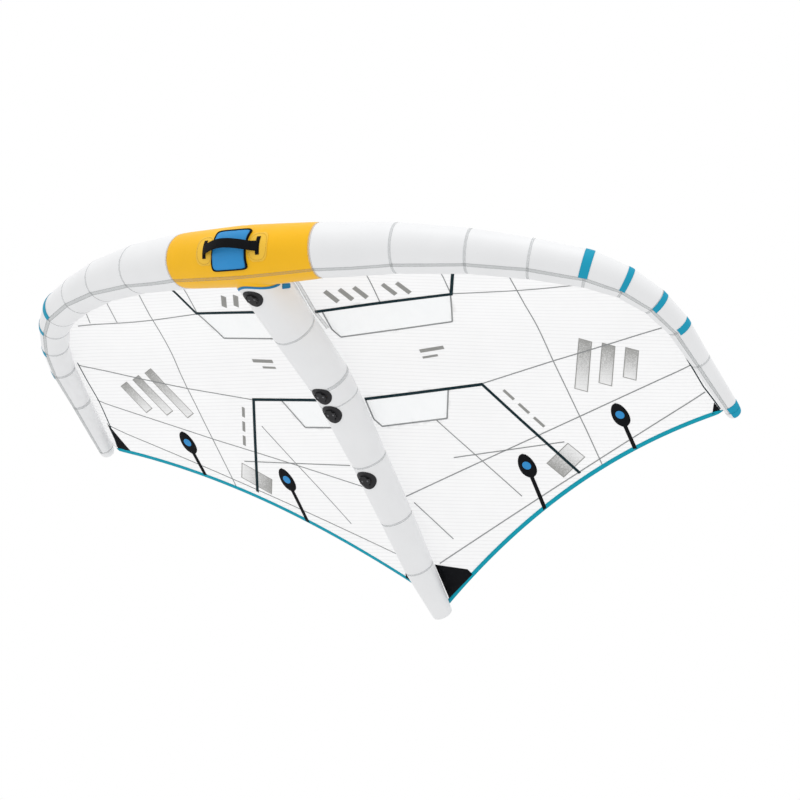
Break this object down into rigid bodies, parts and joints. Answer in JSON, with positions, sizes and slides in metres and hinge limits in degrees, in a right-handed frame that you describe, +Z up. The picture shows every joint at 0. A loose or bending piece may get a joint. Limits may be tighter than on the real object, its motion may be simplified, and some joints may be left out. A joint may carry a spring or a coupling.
{
  "type": "wingfoil wing",
  "caption": "Inflatable hand-held wing with an arched leading edge tube, centre strut, taut canopy with windows, grab handle and strut fittings.",
  "frame": {"origin": "centre of the bounding box", "axes": "+X along the span to the right-hand tip, -Y forwards to the leading edge, +Z up in flight with the strut underneath"},
  "size_m": [3.1818, 1.9815, 0.4859],
  "materials": {
    "black_plastic": "moulded, fine grain",
    "black_webbing": "webbing, dull",
    "bladder_film": "soft film, glossy",
    "blue_fabric": "padded or bound fabric, dull",
    "canopy_cloth": "ripstop canopy cloth, slight sheen",
    "navy_tape": "woven tape, dull",
    "teal_tape": "woven edge tape, dull",
    "white_fabric": "coated woven polyester, satin",
    "window_film": "clear to milky window film, glossy",
    "yellow_fabric": "coated woven polyester, satin"
  },
  "bodies": {
    "wing": {"le_centre_sleeve": "yellow_fabric", "le_panel_right_1": "white_fabric", "le_panel_left_1": "white_fabric", "le_panel_right_2": "white_fabric", "le_panel_left_2": "white_fabric", "le_panel_right_3": "white_fabric", "le_panel_left_3": "white_fabric", "le_panel_right_4": "white_fabric", "le_panel_left_4": "white_fabric", "le_panel_right_5": "white_fabric", "le_panel_left_5": "white_fabric", "le_panel_right_6": "white_fabric", "le_panel_left_6": "white_fabric", "le_bladder": "bladder_film", "le_tip_cap_right": "white_fabric", "le_tip_cap_left": "white_fabric", "strut_panel_1": "white_fabric", "strut_panel_2": "white_fabric", "strut_panel_3": "white_fabric", "strut_panel_4": "white_fabric", "strut_bladder": "bladder_film", "strut_end_cap": "white_fabric", "strut_web": "white_fabric", "canopy_inner_right": "canopy_cloth", "canopy_outer_right": "canopy_cloth", "window_front_right": "window_film", "window_rear_right": "window_film", "load_strip_front_right": "navy_tape", "load_strip_rear_right": "navy_tape", "batten_pocket_inner_right": "black_webbing", "batten_pocket_outer_right": "black_webbing", "tail_patch_right": "black_webbing", "tip_patch_right": "black_webbing", "canopy_inner_left": "canopy_cloth", "canopy_outer_left": "canopy_cloth", "window_front_left": "window_film", "window_rear_left": "window_film", "load_strip_front_left": "navy_tape", "load_strip_rear_left": "navy_tape", "batten_pocket_inner_left": "black_webbing", "batten_pocket_outer_left": "black_webbing", "tail_patch_left": "black_webbing", "tip_patch_left": "black_webbing", "trailing_edge_tape": "teal_tape", "strut_fitting_1": "black_plastic", "strut_fitting_2": "black_plastic", "strut_fitting_3": "black_plastic", "strut_fitting_4": "black_plastic", "handle_patch_right": "yellow_fabric", "handle_strap_end_right": "black_webbing", "handle_patch_left": "yellow_fabric", "handle_strap_end_left": "black_webbing", "handle_pad": "blue_fabric", "handle_pad_binding": "black_webbing", "opening_binding": "blue_fabric", "valve_body": "black_plastic", "one_pump_hose": "bladder_film"},
    "strap": {"handle_strap": "black_webbing"},
    "cap": {"valve_cap": "black_plastic"},
    "tab": {"opening_pull_tab": "blue_fabric"}
  },
  "joints": [
    {"name": "strap_swing", "type": "hinge", "parent": "wing", "child": "strap", "pos_m": [0, -0.94881, -0.14404], "axis": [1, 0, 0], "range_deg": [-20, 20], "stiffness_Nm_per_rad": 0.3},
    {"name": "cap_turn", "type": "hinge", "parent": "wing", "child": "cap", "pos_m": [0.49998, -0.7849, -0.0213], "axis": [-0.2108, 0.9775, 0], "range_deg": [0, 90]},
    {"name": "tab_lift", "type": "hinge", "parent": "wing", "child": "tab", "pos_m": [0.09363, -0.69239, -0.0982], "axis": [-0.0876, 0.781, -0.6184], "range_deg": [0, 100]}
  ]
}
